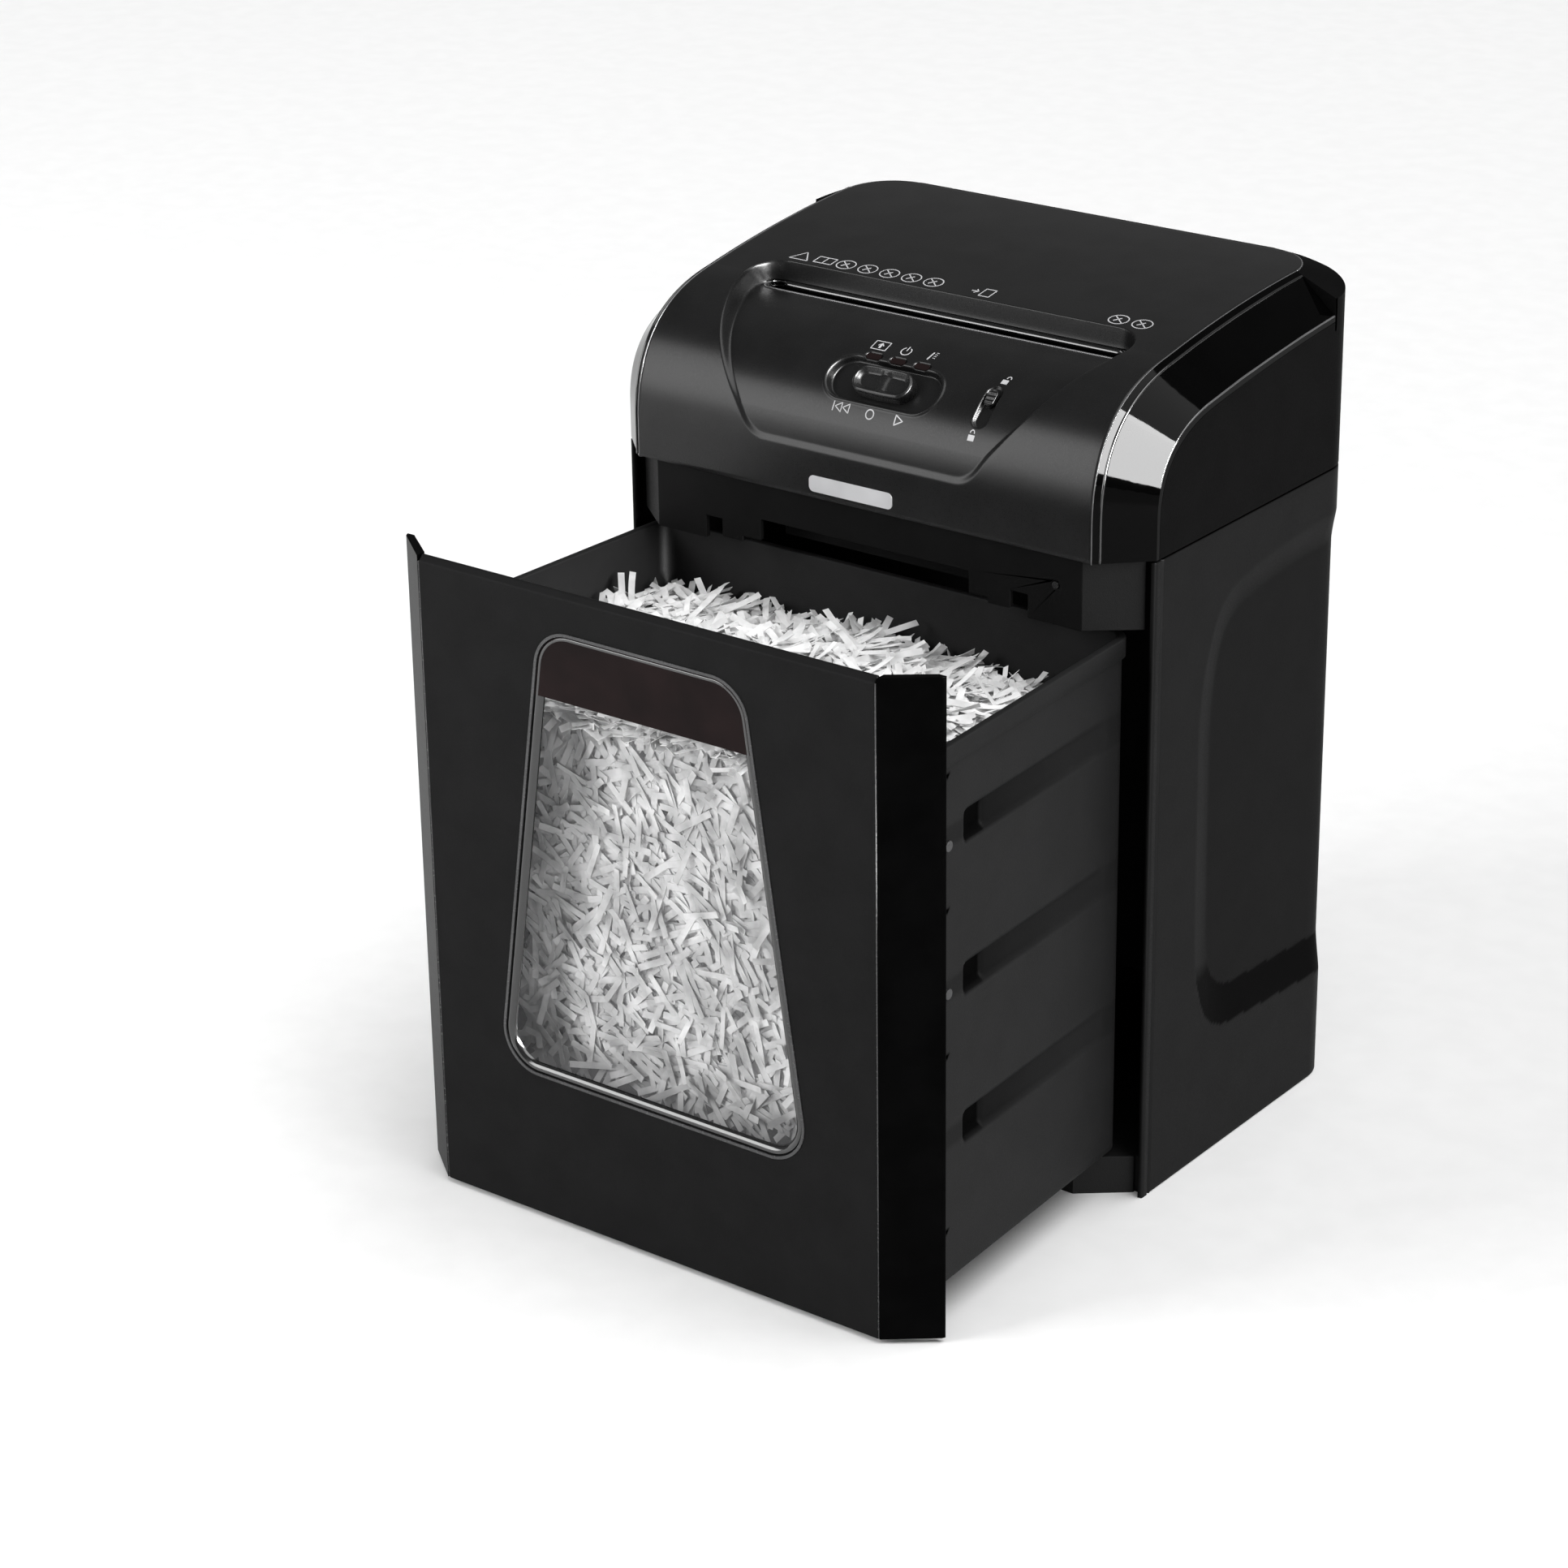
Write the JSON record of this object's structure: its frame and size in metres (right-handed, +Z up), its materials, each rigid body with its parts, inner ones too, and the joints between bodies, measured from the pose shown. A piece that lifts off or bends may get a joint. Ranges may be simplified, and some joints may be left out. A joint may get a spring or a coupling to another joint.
{
  "type": "paper shredder",
  "caption": "Floor-standing paper shredder: slotted cutter head with slide switches on a cabinet, and a pull-out bin with a clear window, shown open and full of strips.",
  "frame": {"origin": "centre of the cabinet's foot, on the floor", "axes": "+X to the user's right, -Y towards the user (the bin pulls out along -Y), +Z up"},
  "size_m": [0.342, 0.417, 0.473],
  "materials": {
    "matte_black": "fine moulded texture",
    "satin_black": "satin",
    "gloss_black": "polished",
    "smoked_plastic": "polished, dark tinted",
    "clear_plastic": "clear",
    "badge_silver": "satin",
    "bead_grey": "polished",
    "steel": "machined",
    "bronze": "sintered",
    "gear_plastic": "natural",
    "motor_shell": "zinc plated",
    "board_green": "solder mask",
    "part_black": "moulded",
    "plunger_white": "moulded",
    "rubber": "matt",
    "paper": "cut strips"
  },
  "bodies": {
    "cabinet": {"base_plinth": "matte_black", "rubber_feet": "rubber", "side_panel_right": "matte_black", "side_panel_left": "matte_black", "back_panel": "matte_black", "head_top_cover": "satin_black", "head_trim_right": "gloss_black", "head_trim_left": "gloss_black", "head_back": "matte_black", "head_side_right": "matte_black", "head_side_left": "matte_black", "head_base": "matte_black", "lower_shroud": "matte_black", "throat_guide": "gloss_black", "indicator_windows": "smoked_plastic", "name_badge": "badge_silver", "end_plate_left": "steel", "end_plate_right": "steel", "shaft_bushes": "bronze", "tie_bars": "steel", "front_comb": "gear_plastic", "rear_comb": "gear_plastic", "idler_axle": "steel", "motor_housing": "motor_shell", "control_board": "board_green", "board_parts": "part_black", "paper_sensor": "part_black", "mode_switch_body": "part_black", "lock_switch_body": "part_black", "interlock_switch": "part_black", "cord_gland": "rubber"},
    "bin": {"bin_tub": "matte_black", "bin_front": "matte_black", "bin_trim_right": "gloss_black", "bin_trim_left": "gloss_black", "window_bead": "bead_grey", "handle_plate": "smoked_plastic", "window_tray": "clear_plastic", "bin_screws": "steel", "shredded_paper": "paper"},
    "mode_switch": {"mode_knob": "satin_black"},
    "safety_lock": {"lock_knob": "satin_black"},
    "rear_cutter": {"cutter_roller_rear": "steel", "rear_roller_gear": "steel", "drive_gear": "steel"},
    "front_cutter": {"cutter_roller_front": "steel", "front_roller_gear": "steel"},
    "reduction_gear": {"compound_gear": "gear_plastic"},
    "rotor": {"motor_rotor": "steel", "motor_pinion": "steel"},
    "bin_sensor": {"interlock_plunger": "plunger_white"}
  },
  "joints": [
    {"name": "bin_slide", "type": "slide", "parent": "cabinet", "child": "bin", "axis": [0, -1, 0], "range_m": [-0.182, 0]},
    {"name": "mode_slide", "type": "slide", "parent": "cabinet", "child": "mode_switch", "axis": [1, 0, 0], "range_m": [-0.014, 0.014]},
    {"name": "lock_slide", "type": "slide", "parent": "cabinet", "child": "safety_lock", "axis": [0, -0.7431, -0.6691], "range_m": [0, 0.01]},
    {"name": "rear_cutter_spin", "type": "hinge", "parent": "cabinet", "child": "rear_cutter", "pos_m": [0, -0.0255, 0.404], "axis": [1, 0, 0], "continuous": true},
    {"name": "front_cutter_spin", "type": "hinge", "parent": "cabinet", "child": "front_cutter", "pos_m": [0, -0.0585, 0.404], "axis": [1, 0, 0], "continuous": true},
    {"name": "reduction_spin", "type": "hinge", "parent": "cabinet", "child": "reduction_gear", "pos_m": [0, 0.015, 0.404], "axis": [1, 0, 0], "continuous": true},
    {"name": "rotor_spin", "type": "hinge", "parent": "cabinet", "child": "rotor", "pos_m": [0, 0.054, 0.404], "axis": [1, 0, 0], "continuous": true},
    {"name": "bin_sensor_press", "type": "slide", "parent": "cabinet", "child": "bin_sensor", "axis": [0, 1, 0], "range_m": [0, 0.0035], "stiffness_N_per_m": 150}
  ],
  "couplings": [
    {"joint": "front_cutter_spin", "follows": "rear_cutter_spin", "ratio": -1},
    {"joint": "reduction_spin", "follows": "rear_cutter_spin", "ratio": -2.8571},
    {"joint": "rotor_spin", "follows": "rear_cutter_spin", "ratio": 9.5238}
  ]
}
